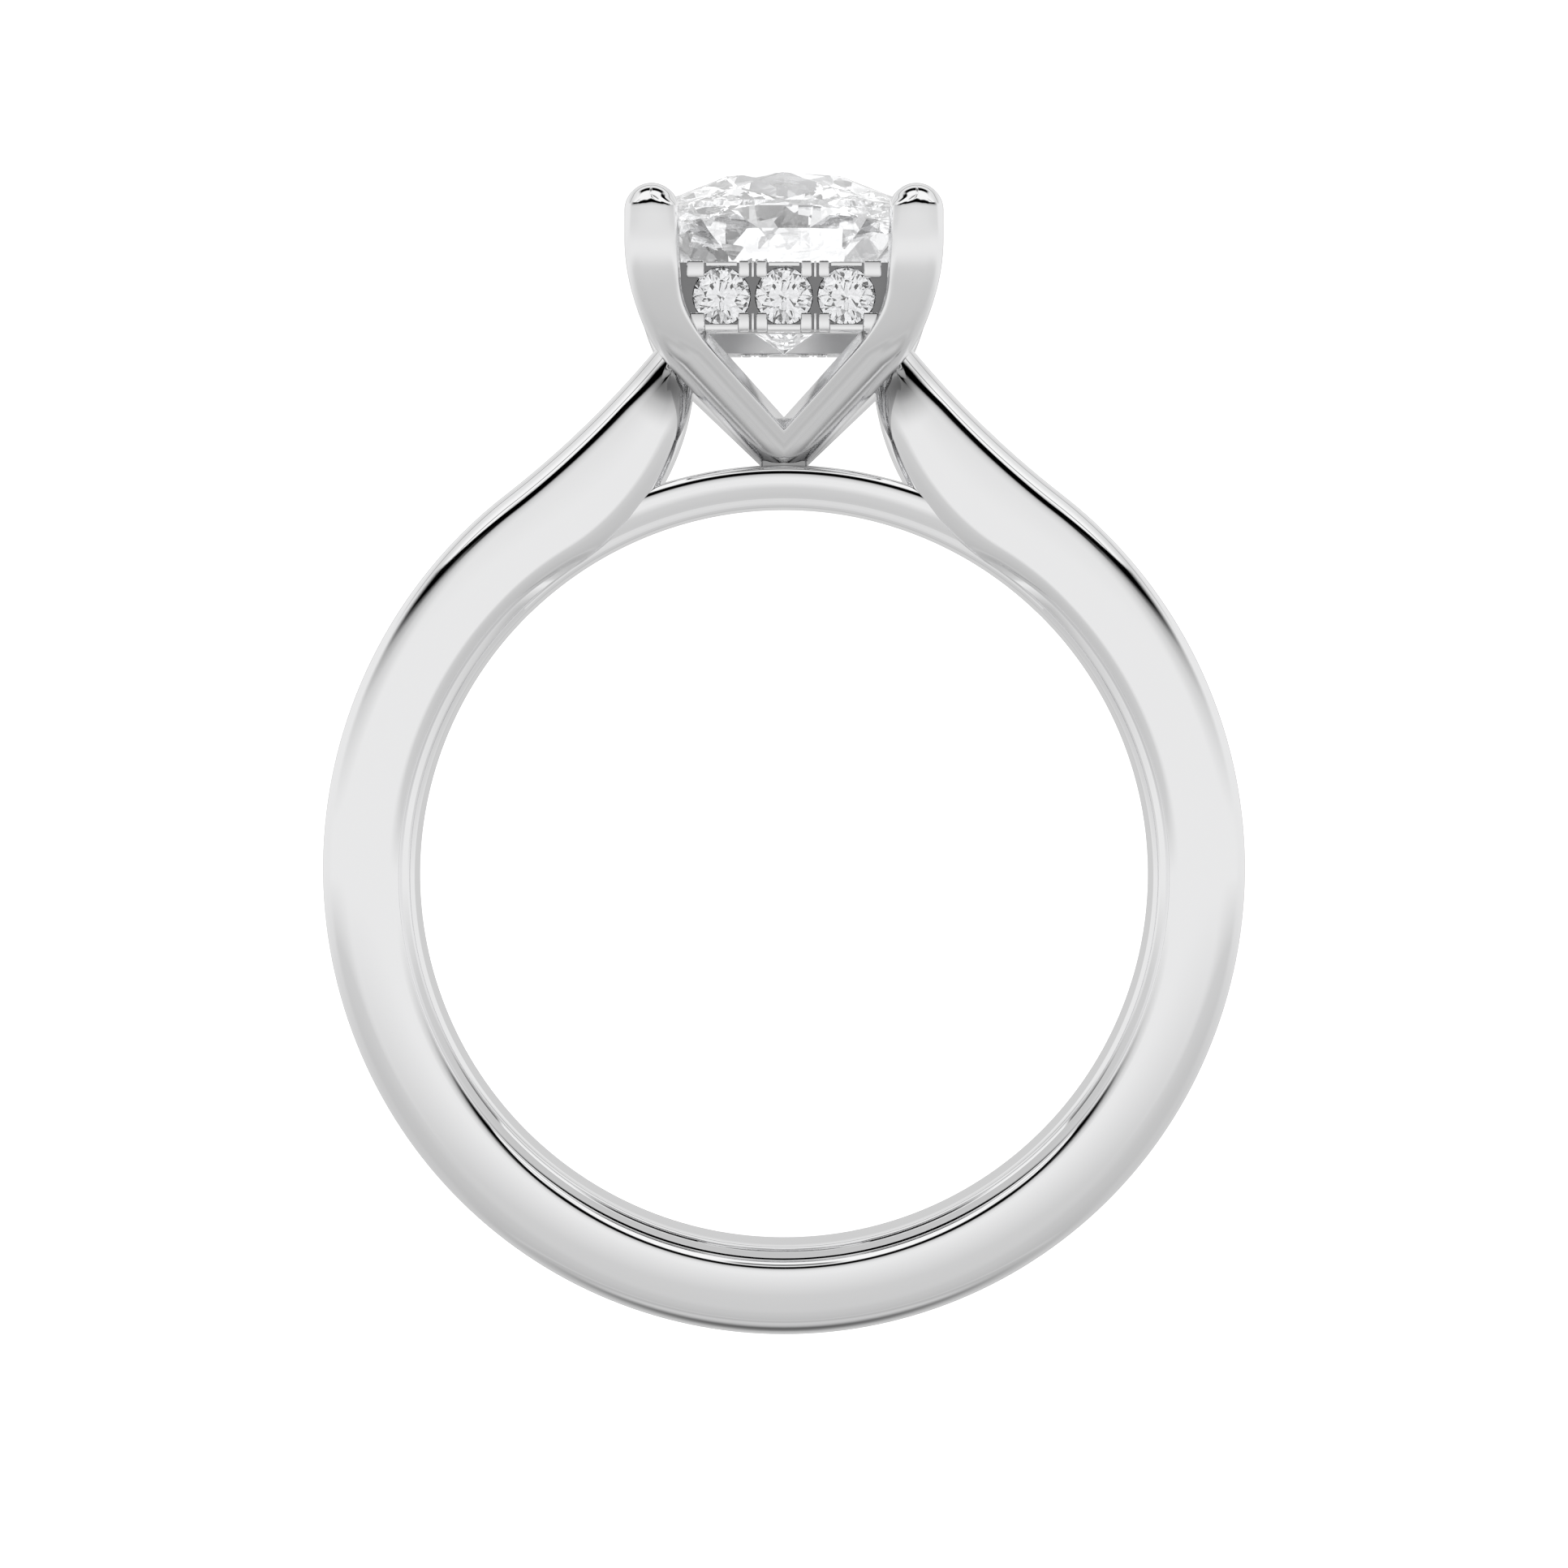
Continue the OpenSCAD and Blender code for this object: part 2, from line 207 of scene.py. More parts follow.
def step(tree, value, low, high, to_low=0.0, to_high=1.0):
    """A soft step from one level to another."""
    node = tree.nodes.new("ShaderNodeMapRange")
    node.interpolation_type = "SMOOTHSTEP"
    tree.links.new(value, node.inputs["Value"])
    node.inputs["From Min"].default_value = low
    node.inputs["From Max"].default_value = high
    node.inputs["To Min"].default_value = to_low
    node.inputs["To Max"].default_value = to_high
    return node.outputs["Result"]


def map_range(tree, value, low, high, to_low, to_high):
    """A straight line from one range to another."""
    node = tree.nodes.new("ShaderNodeMapRange")
    tree.links.new(value, node.inputs["Value"])
    for name, level in (("From Min", low), ("From Max", high), ("To Min", to_low), ("To Max", to_high)):
        node.inputs[name].default_value = level
    return node.outputs["Result"]


def noise(tree, coord, scale, detail):
    """Soft noise at the given number of waves to the metre."""
    node = tree.nodes.new("ShaderNodeTexNoise")
    node.inputs["Scale"].default_value = scale
    node.inputs["Detail"].default_value = detail
    tree.links.new(coord, node.inputs["Vector"])
    return node.outputs["Fac"]


def node_material(name):
    """A node material with its tree and its shader."""
    mat = bpy.data.materials.new(name)
    mat.use_nodes = True
    return mat, mat.node_tree, mat.node_tree.nodes["Principled BSDF"]


def place(tree, coord):
    """Distance from the middle plane and height above the finger hole's centre, in millimetres."""
    aside, height = [calc(tree, "DIVIDE", dot(tree, coord, axis), MM) for axis in ((1, 0, 0), UP)]
    return calc(tree, "ABSOLUTE", aside), calc(tree, "SUBTRACT", height, lay((0, 0, 0)).dot(UP) / MM)


def soft_spot(tree, aside, height, middle, radius, depth):
    """A level that falls softly to a lower one round a place."""
    core = 0.1 * radius
    away = calc(tree, "SUBTRACT", aside, middle[0])
    over = calc(tree, "SUBTRACT", height, middle[1])
    squares = calc(tree, "ADD", calc(tree, "MULTIPLY", away, away), calc(tree, "MULTIPLY", over, over))
    return step(tree, calc(tree, "SQRT", squares), core, radius, depth, 1.0)


def shoulder_painted_shade(tree, aside, height):
    """Painted shade: the shoulders' colour is darkened where they run in under the head, standing in for
    the shade and dark reflections there.
    """
    wide = soft_spot(tree, aside, height, middle=(2.45, 10.95), radius=1.05, depth=0.45)
    dark = soft_spot(tree, aside, height, middle=(2.62, 10.98), radius=0.45, depth=0.5)
    return calc(tree, "MULTIPLY", wide, dark)


def foot_painted_shade(tree, aside, height):
    """Painted shade: the legs' colour is darkened where they meet on the foot."""
    slope, dark_below, light_above, darkest = 0.4, 9.2, 9.62, 0.4
    level = calc(tree, "SUBTRACT", height, calc(tree, "MULTIPLY", aside, slope))
    return step(tree, level, dark_below, light_above, darkest, 1.0)


def tip_polish(tree, height):
    """The prong tips are polished brighter than the legs."""
    tip_share = 0.25
    return step(tree, height, TIP_Z - 0.7, TIP_Z - 0.1, 1.0, tip_share)


def polished_metal(name, colour, rough_low, rough_high, shade=None, polish=None):
    """Polished white metal: faint polishing haze in patches, and the finest waviness; any shade given is
    painted into its colour.
    """
    haze_scale, haze_detail, wave_scale, wave_detail = 900, 3, 450, 1
    mat, tree, shader = node_material(name)
    shader.inputs["Base Color"].default_value = (*colour, 1)
    shader.inputs["Metallic"].default_value = 1
    coord = tree.nodes.new("ShaderNodeTexCoord").outputs["Object"]
    # Painted shade: the base colour is scaled down wherever the shade function falls below one
    if shade:
        aside, height = place(tree, coord)
        tint = vector_calc(tree, "SCALE", colour, shade(tree, aside, height))
        tree.links.new(tint, shader.inputs["Base Color"])
    haze = noise(tree, coord, haze_scale, haze_detail)
    rough = map_range(tree, haze, 0.35, 0.65, rough_low, rough_high)
    if polish:
        rough = calc(tree, "MULTIPLY", rough, polish(tree, height))
    tree.links.new(rough, shader.inputs["Roughness"])
    relief = tree.nodes.new("ShaderNodeBump")
    relief.inputs["Strength"].default_value = 0.02
    relief.inputs["Distance"].default_value = 0.002 * MM
    tree.links.new(noise(tree, coord, wave_scale, wave_detail), relief.inputs["Height"])
    tree.links.new(relief.outputs["Normal"], shader.inputs["Normal"])
    return mat


def fine_facets(tree, coord, size, tilt):
    """A surface normal that changes from cell to cell, as the many small facets of a cut stone do."""
    cells = tree.nodes.new("ShaderNodeTexVoronoi")
    cells.inputs["Scale"].default_value = 1 / (size * MM)
    tree.links.new(coord, cells.inputs["Vector"])
    centred = vector_calc(tree, "SUBTRACT", cells.outputs["Color"], (0.5, 0.5, 0.5))
    lean = vector_calc(tree, "SCALE", centred, tilt)
    surface = tree.nodes.new("ShaderNodeNewGeometry").outputs["Normal"]
    tilted = vector_calc(tree, "ADD", lean, surface)
    unit = tree.nodes.new("ShaderNodeVectorMath")
    unit.operation = "NORMALIZE"
    tree.links.new(tilted, unit.inputs[0])
    return unit.outputs["Vector"]


def cut_gem(name, colour, painted_crown_glow=0.0, facet_size=0.0):
    """Clear stone with the faintest haze; a large one has a crown brightened by painted glow, and fine
    facets.
    """
    refraction, facet_tilt, haze_scale, haze_detail, haze_rough = 2.42, 0.03, 1500, 2, 0.004
    glow_from, glow_to = STONE_Z - 0.5, STONE_Z + 0.3
    mat, tree, shader = node_material(name)
    shader.inputs["Base Color"].default_value = (*colour, 1)
    shader.inputs["IOR"].default_value = refraction
    shader.inputs["Transmission Weight"].default_value = 1
    shader.inputs["Emission Color"].default_value = (1, 1, 1, 1)
    coord = tree.nodes.new("ShaderNodeTexCoord").outputs["Object"]
    # Painted light: the large stone's crown glows, more towards its top
    if painted_crown_glow:
        _, height = place(tree, coord)
        glow = step(tree, height, glow_from, glow_to, 0.0, painted_crown_glow)
        tree.links.new(glow, shader.inputs["Emission Strength"])
    if facet_size:
        tree.links.new(fine_facets(tree, coord, facet_size, facet_tilt), shader.inputs["Normal"])
    haze = noise(tree, coord, haze_scale, haze_detail)
    tree.links.new(map_range(tree, haze, 0.0, 1.0, 0.0, haze_rough), shader.inputs["Roughness"])
    return mat


WHITE_METAL = (0.93, 0.93, 0.935)
INNER_METAL = (0.87, 0.87, 0.875)
# Painted shade: the gallery's recessed, drilled plate is coloured dark for the shade in its holes
RECESS_PAINTED_SHADE_METAL = (0.24, 0.24, 0.244)
SMALL_STONE = (0.85, 0.855, 0.87)
LARGE_STONE = (0.985, 0.99, 1.0)
metal = polished_metal("polished_white_metal", WHITE_METAL, 0.02, 0.05)
# The shank's colour carries painted shade where the shoulders run in under the head
shank_metal_painted_shade = polished_metal("polished_shank_metal", WHITE_METAL, 0.02, 0.05, shoulder_painted_shade)
# The legs and the foot carry painted shade where the legs meet on the foot
leg_metal_painted_shade = polished_metal("polished_leg_metal", WHITE_METAL, 0.13, 0.17, foot_painted_shade, tip_polish)
lining = polished_metal("inner_white_metal", INNER_METAL, 0.2, 0.35)
recess = polished_metal("white_metal_painted_recess_shade", RECESS_PAINTED_SHADE_METAL, 0.1, 0.25)
gem = cut_gem("clear_cut_stone", SMALL_STONE)
# The centre stone's crown is given painted glow
large_gem = cut_gem("clear_cushion_stone", LARGE_STONE, painted_crown_glow=0.12, facet_size=0.9)


# Shank with its shoulders

def mirror_section(half):
    """A closed ring of (depth, y) points from one half with y > 0 and its mirror image."""
    back = [(a, -y) for a, y in reversed(half)]
    return half + back


def inner_band():
    """From the hole outwards: plain bore, comfort round, a narrow rim, a fine crease and the eased edge."""
    comfort_r, comfort_steps, comfort_turn = 0.4, 6, 10
    rim = (0.22, 0.785)
    edge_depth, edge_y, edge_r = 0.58, 0.68, 0.32
    edge_turn, edge_steps = 73, 8
    pts = [(0, y) for y in (0.02, 0.25, 0.42, 0.485)]
    for i in range(comfort_steps):
        t = math.radians(comfort_turn * i)
        pts.append((comfort_r * (1 - math.cos(t)), BORE_HALF + comfort_r * math.sin(t)))
    pts.append(rim)
    for i in range(edge_steps + 1):
        t = math.radians(edge_turn * (1 - i / edge_steps))
        pts.append((edge_depth - edge_r * math.sin(t), edge_y + edge_r * math.cos(t)))
    return pts


def inner_shoulder():
    """The same number of points round the soft inner edge of a shoulder."""
    flat_half, round_depth, steps = 0.45, 0.58, 15
    pts = [(0, y) for y in (0.02, 0.2, 0.36, 0.435)]
    for i in range(steps + 1):
        t = math.radians(90 * i / steps)
        pts.append((round_depth * (1 - math.cos(t)), flat_half + (HALF_W - flat_half) * math.sin(t)))
    return pts


INNER_BAND = inner_band()
INNER_SHOULDER = inner_shoulder()


def shank_section(thick, blend, narrow):
    """The section of the shank: its sides bulge a little, and it may be narrower by 2 * narrow."""
    side_steps, round_steps = 12, 18
    half = [
        (a * (1 - blend) + b * blend, y * (1 - blend) + z * blend)
        for (a, y), (b, z) in zip(INNER_BAND, INNER_SHOULDER)
    ]
    start = half[-1][0]
    end = thick - OUTER_ROUND
    for i in range(1, side_steps):
        t = i / side_steps
        half.append((start + (end - start) * t, HALF_W + SIDE_BULGE * (1 - (2 * t - 1) ** 2)))
    for i in range(round_steps + 1):
        t = math.radians(90 * i / round_steps)
        half.append((end + OUTER_ROUND * math.sin(t), HALF_W - OUTER_ROUND * (1 - math.cos(t))))
    half += [(thick, y) for y in (0.32, 0.2, 0.02)]
    squeeze = (HALF_W - SIDE_BULGE - narrow) / HALF_W
    return mirror_section([(a, y * squeeze) for a, y in half])


def along(arcs, steps):
    """Points at equal distances along a chain of arcs, each (centre, radius, from, to) in degrees."""
    lengths = [abs(math.radians(b - a)) * r for _, r, a, b in arcs]
    total = sum(lengths)
    out = []
    for i in range(steps + 1):
        d = total * i / steps
        for (centre, r, a, b), length in zip(arcs, lengths):
            if d <= length + 1e-9 or (centre, r, a, b) == arcs[-1]:
                out.append((centre, r, a + (b - a) * min(d / length, 1.0)))
                break
            d -= length
    return [polar(c, r, a) for c, r, a in out]


def shoulder_lines():
    """Matched points of the inner and outer outline of the left half, from the bottom to the head."""
    split, band_steps, shoulder_steps, blend_share = 44.0, 90, 64, 0.35
    pairs = []
    for i in range(band_steps):
        a = -90 + (split + 90) * i / band_steps
        inner = polar((0, 0), HOLE_R, a)
        outer = polar((0, 0), BAND_R, a) if a < -SIDE_START else polar(SIDE_C, SIDE_R, a)
        pairs.append((inner, outer, 0.0))
    inner = along([((0, 0), HOLE_R, split, INNER_START),
                   (INNER_C, INNER_R, 180 + INNER_START, 180 - INNER_END)], shoulder_steps)
    outer = along([(SIDE_C, SIDE_R, split, LEAVE),
                   (SWEEP_C, SWEEP_R, 180 + LEAVE, 180 + SWEEP_END)], shoulder_steps)
    for i in range(shoulder_steps + 1):
        pairs.append((inner[i], outer[i], smooth(i / shoulder_steps / blend_share)))
    return pairs


def shank():
    """The left half and its mirror image, lofted from head to head through the bottom."""
    left = shoulder_lines()
    right = [((-i[0], i[1]), (-o[0], o[1]), b) for i, o, b in left]
    rings = []
    for inner, outer, blend in list(reversed(left)) + right[1:]:
        span = Vector((outer[0] - inner[0], 0, outer[1] - inner[1]))
        thick = span.length
        span.normalize()
        start = Vector((inner[0], 0, inner[1]))
        run = max((inner[1] + outer[1]) / 2 - TAPER_FROM, 0.0)
        section = shank_section(thick, blend, TAPER * run * run)
        rings.append([tuple(start + span * a + Vector((0, y, 0))) for a, y in section])
    return loft(rings)


def bridge():
    """The bar that closes the finger hole under the head."""
    ease_turn, ease_steps = 24, 6
    face_depth, face_y, face_r, face_turn, face_steps = 0.66, 0.8, 1.78, 15, 8
    round_y, round_r, round_turn, round_steps = 0.35, 0.45, 30, 8
    edge_depth, edge_y, edge_r, edge_turn, edge_steps = 0.845, 0.671, 0.08, 50, 6
    top_depth, top_half, top_rise, top_steps = 0.924, 0.685, 0.063, 11
    first_angle, swept, sections = 46, 88, 96
    half = [(0, y) for y in (0.02, 0.25, 0.42, 0.485)]
    for i in range(ease_steps + 1):
        t = math.radians(ease_turn * i / ease_steps)
        half.append((COMFORT_R * (1 - math.cos(t)), BORE_HALF + COMFORT_R * math.sin(t)))
    half += [(0.12, 0.733), (0.19, 0.738)]
    for i in range(face_steps):
        t = math.radians(face_turn * (1 - i / face_steps))
        half.append((face_depth - face_r * math.sin(t), face_y - face_r * (1 - math.cos(t))))
    for i in range(round_steps + 1):
        t = math.radians(round_turn * i / round_steps)
        half.append((face_depth + round_r * math.sin(t), round_y + round_r * math.cos(t)))
    for i in range(1, edge_steps + 1):
        t = math.radians(round_turn + edge_turn * i / edge_steps)
        half.append((edge_depth + edge_r * math.sin(t), edge_y + edge_r * math.cos(t)))
    for i in range(1, top_steps + 1):
        y = top_half * (1 - i / top_steps)
        half.append((top_depth + top_rise * (1 - (y / top_half) ** 2), max(y, 0.01)))
    section = mirror_section(half)
    rings = []
    for i in range(sections + 1):
        d = math.radians(first_angle + swept * i / sections)
        out = Vector((-math.cos(d), 0, math.sin(d)))
        rings.append([tuple(out * (HOLE_R + a) + Vector((0, y, 0))) for a, y in section])
    return loft(rings)


# Prongs, legs and foot

def rounded_square(half, outer_r, other_r):
    """Points of a square with rounded corners and slightly bulging sides, the first corner along +n."""
    corner_steps = 12
    pts = []
    for corner in range(4):
        r = outer_r if corner == 0 else other_r
        middle = math.radians(45 + 90 * corner)
        cx = (half - r) * math.copysign(1, math.cos(middle))
        cy = (half - r) * math.copysign(1, math.sin(middle))
        for i in range(corner_steps + 1):
            t = middle + math.radians(-45 + 90 * i / corner_steps)
            pts.append((cx + r * math.cos(t), cy + r * math.sin(t)))
        flat_from = pts[-1]
        after = math.radians(45 + 90 * (corner + 1))
        r2 = outer_r if corner == 3 else other_r
        flat_to = ((half - r2) * math.copysign(1, math.cos(after)) + r2 * math.cos(after - math.pi / 4),
                   (half - r2) * math.copysign(1, math.sin(after)) + r2 * math.sin(after - math.pi / 4))
        across = (flat_to[0] - flat_from[0], flat_to[1] - flat_from[1])
        width = math.hypot(*across)
        for t in (0.04, 0.2, 0.4, 0.6, 0.8, 0.96):
            bulge = FACE_BULGE * (1 - (2 * t - 1) ** 2)
            pts.append((flat_from[0] + across[0] * t + across[1] / width * bulge,
                        flat_from[1] + across[1] * t - across[0] / width * bulge))
    c = math.cos(math.radians(-45))
    s = math.sin(math.radians(-45))
    return [(x * c - y * s, x * s + y * c) for x, y in pts]


def prong(turn):
    """One leg and prong with its tip, in the upright plane at the given turn."""
    leg_round, leg_edge = 0.65, 0.1
    prong_round, prong_edge = 0.4, 0.2
    tip_round, tip_edge = 0.46, 0.29
    leg_length, leg_steps, arc_steps, upright_steps, tip_steps = 3.85, 8, 44, 3, 28
    leg_share, upright_from, upright_share, round_share = 0.6, 0.35, 0.5, 0.32
    upright_start = CURVE_TOP + 0.1
    dome_end = 89.9
    root_2 = math.sqrt(2)
    rings = []
    aim = math.radians(turn)
    flat = Vector((math.cos(aim), math.sin(aim), 0))
    side = Vector((-math.sin(aim), math.cos(aim), 0))
    up = Vector((0, 0, 1))
    outer_line = PRONG_FACE * root_2 - CURVE_S

    def ring(s, z, direction, half, outer_r, other_r, share=1.0):
        """Section whose outward corner would stand at (s, z) if it were sharp."""
        reach = half * root_2
        centre = flat * (s - direction[0] * reach) + up * (z - direction[1] * reach)
        normal = flat * direction[0] + up * direction[1]
        rings.append([tuple(centre + normal * n * share + side * b * share)
                      for n, b in rounded_square(half - FACE_BULGE, outer_r - FACE_BULGE, other_r)])

    turn_end = math.radians(LEG_TURN)
    down = (math.cos(turn_end), -math.sin(turn_end))
    reach = outer_line + LEG_OUT
    end = (CURVE_S + reach * down[0], CURVE_TOP + reach * down[1])
    straight = (-math.sin(turn_end), -math.cos(turn_end))
    for i in range(leg_steps, 0, -1):
        d = leg_length * i / leg_steps
        ring(end[0] + straight[0] * d, end[1] + straight[1] * d, down, LEG_HALF, leg_round, leg_edge)
    for i in range(arc_steps + 1):
        t = i / arc_steps
        a = turn_end * (1 - t)
        leg = 1 - smooth(t / leg_share)
        upright = smooth((t - upright_from) / upright_share)
        half = CURVE_HALF + (LEG_HALF - CURVE_HALF) * leg + (PRONG_HALF - CURVE_HALF) * upright
        direction = (math.cos(a), -math.sin(a))
        reach = outer_line + LEG_OUT * leg
        ring(CURVE_S + reach * direction[0], CURVE_TOP + reach * direction[1], direction, half,
             prong_round + (leg_round - prong_round) * leg, prong_edge + (leg_edge - prong_edge) * leg)
    s = CURVE_S + outer_line
    for i in range(upright_steps + 1):
        t = i / upright_steps
        ring(s, upright_start + (TIP_Z - upright_start) * t, (1, 0), PRONG_HALF,
             prong_round + (tip_round - prong_round) * t, prong_edge + (tip_edge - prong_edge) * t)
    rise = PRONG_TOP - TIP_Z
    for i in range(1, tip_steps + 1):
        t = math.radians(dome_end * i / tip_steps)
        round_r = smooth(i / tip_steps / round_share)
        ring(s, TIP_Z + rise * math.sin(t), (1, 0), PRONG_HALF,
             tip_round + (TIP_ROUND - tip_round) * round_r,
             tip_edge + (TIP_ROUND - FACE_BULGE - tip_edge) * round_r, math.cos(t))
    return loft(rings)


def foot():
    """Where the four legs stand on the bridge."""
    c = math.sqrt(0.5)
    rings = []
    for z, half in FOOT_RINGS:
        square = rounded_square(half * 0.9, FOOT_ROUND, FOOT_ROUND)
        rings.append([((x - y) * c, (x + y) * c, z) for x, y in square])
    return loft(rings)


# Gallery

def rounded_box(low, high, r):
    """A block whose edges are eased by r."""
    bm = bmesh.new()
    bmesh.ops.create_cube(bm, size=1)
    size = Vector(high) - Vector(low)
    middle = (Vector(high) + Vector(low)) / 2
    for v in bm.verts:
        v.co = Vector((v.co.x * size.x, v.co.y * size.y, v.co.z * size.z)) + middle
    bmesh.ops.bevel(bm, geom=list(bm.edges), offset=r, segments=3, profile=0.5, affect="EDGES")
    bm.verts.ensure_lookup_table()
    verts = [tuple(v.co) for v in bm.verts]
    faces = [tuple(v.index for v in f.verts) for f in bm.faces]
    bm.free()
    return verts, faces


def drilled_plate(half, low, high, front, back, holes, radius, cone):
    """An upright plate with round holes that narrow towards the back, as closed quads and fans."""
    verts, faces = [], []
    steps, same = 48, 1e-6
    edges = [-half] + [(a + b) / 2 for a, b in zip(holes, holes[1:])] + [half]
    for k, x in enumerate(holes):
        left, right = edges[k], edges[k + 1]
        rim = []
        for i in range(steps):
            a = 2 * math.pi * (i + 0.5) / steps
            dx, dz = math.cos(a), math.sin(a)
            reach_x = (right - x) / dx if dx > 0 else (left - x) / dx
            reach_z = (high - HALO_Z) / dz if dz > 0 else (low - HALO_Z) / dz
            reach = min(reach_x, reach_z)
            rim.append((x + dx * reach, HALO_Z + dz * reach))
        for cx, cz in ((right, high), (left, high), (left, low), (right, low)):
            near = min(range(steps), key=lambda i: (rim[i][0] - cx) ** 2 + (rim[i][1] - cz) ** 2)
            rim[near] = (cx, cz)
        base = len(verts)
        for y in (front, back):
            r = radius if y == front else cone
            for i in range(steps):
                a = 2 * math.pi * (i + 0.5) / steps
                verts.append((x + r * math.cos(a), y, HALO_Z + r * math.sin(a)))
            for px, pz in rim:
                verts.append((px, y, pz))
        n = steps
        for i in range(n):
            j = (i + 1) % n
            faces.append((base + i, base + j, base + n + j, base + n + i))
            faces.append((base + 2 * n + i, base + 3 * n + i, base + 3 * n + j, base + 2 * n + j))
            faces.append((base + i, base + 2 * n + i, base + 2 * n + j, base + j))
            mid_x = (rim[i][0] + rim[j][0]) / 2
            on_left = k > 0 and abs(mid_x - left) < same
            on_right = k < len(holes) - 1 and abs(mid_x - right) < same
            if not (on_left or on_right):
                faces.append((base + n + i, base + n + j, base + 3 * n + j, base + 3 * n + i))
    return verts, faces


def gallery_wall():
    """The beads and cups of the wall towards the camera, its drilled plate and its lining."""
    low, top = GALLERY_Z, GALLERY_Z + GALLERY_H
    face, bead_back, bar_back = -GALLERY_AT, -2.4, -2.3
    plate_front, plate_back, plate_inset, hole_r, cone_r = -2.62, -2.08, 0.03, 0.64, 0.5
    sheet_half, sheet_front, sheet_back, sheet_high = 2.1, -2.03, -1.97, top - 0.2
    bead_from, bead_h, cup_from, cup_h, bead_to = 0.375, 0.37, 0.365, 0.39, 0.605
    end_bead_to, end_cup_to, bead_edge = 0.76, 0.7, 0.045
    cup_bar, cup_bar_face, cup_bar_high = 0.36, face + 0.05, low + 0.15
    seat_bar, seat_bar_face, seat_bar_low, seat_bar_high = 0.34, face + 0.09, top - 0.12, top - 0.02
    rib, rib_face, upper_rib_low, lower_rib_high = 0.025, face + 0.06, top - 0.36, low + 0.38
    bar_edge, rib_edge, inset = 0.02, 0.01, 0.01
    holes = [-HALO_PITCH, 0, HALO_PITCH]
    plate = drilled_plate(GALLERY_HALF, low + plate_inset, top - plate_inset, plate_front, plate_back,
                          holes, hole_r, cone_r)
    parts = []
    for k, x in enumerate(holes):
        for side in (-1, 1):
            at_end = (k, side) in ((0, -1), (2, 1))
            ends = sorted((x + side * bead_from, x + side * (end_bead_to if at_end else bead_to)))
            parts.append(rounded_box((ends[0], face, top - bead_h), (ends[1], bead_back, top), bead_edge))
            ends = sorted((x + side * cup_from, x + side * (end_cup_to if at_end else bead_to)))
            parts.append(rounded_box((ends[0], face, low), (ends[1], bead_back, low + cup_h), bead_edge))
        parts.append(rounded_box((x - cup_bar, cup_bar_face, low),
                                 (x + cup_bar, bar_back, cup_bar_high), bar_edge))
        parts.append(rounded_box((x - seat_bar, seat_bar_face, seat_bar_low),
                                 (x + seat_bar, bar_back, seat_bar_high), bar_edge))
    for x in (-0.5 * HALO_PITCH, 0.5 * HALO_PITCH):
        parts.append(rounded_box((x - rib, rib_face, upper_rib_low),
                                 (x + rib, bead_back, top - inset), rib_edge))
        parts.append(rounded_box((x - rib, rib_face, low + inset),
                                 (x + rib, bead_back, lower_rib_high), rib_edge))
    sheet = rounded_box((-sheet_half, sheet_front, low + inset),
                        (sheet_half, sheet_back, sheet_high), bar_edge)
    return joined(parts), plate, sheet


def turned(mesh, degrees):
    """A mesh turned about the upright axis."""
    a = math.radians(degrees)
    c, s = math.cos(a), math.sin(a)
    verts, faces = mesh
    return [(x * c - y * s, x * s + y * c, z) for x, y, z in verts], faces


metal_pieces = [
    piece("shank_and_shoulders", *shank(), shank_metal_painted_shade, sharp=30),
    piece("bridge_bar", *bridge(), metal),
    piece("head_foot", *foot(), leg_metal_painted_shade),
]
for k, turn in enumerate((45, 135, 225, 315)):
    metal_pieces.append(piece("prong_%d" % (k + 1), *prong(turn), leg_metal_painted_shade))
rails, plate, sheet = gallery_wall()
# The drilled plate is finished in the dark metal of painted recess shade
for name, wall, finish in (("gallery_rail", rails, metal), ("gallery_recess", plate, recess),
                           ("gallery_lining", sheet, lining)):
    walls = joined([turned(wall, 90 * k) for k in range(4)])
    metal_pieces.append(piece(name, *walls, finish, sharp=25))
for obj in metal_pieces:
    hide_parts("ring_mount")

# Stones

def edge_at(half, corner, degrees):
    """Distance from the middle of a rounded square to its edge."""
    x, y = abs(math.cos(math.radians(degrees))), abs(math.sin(math.radians(degrees)))
    flat = half - corner
    if half * min(x, y) <= flat * max(x, y):
        return half / max(x, y)
    return flat * (x + y) + math.sqrt((flat * (x + y)) ** 2 - 2 * flat * flat + corner * corner)


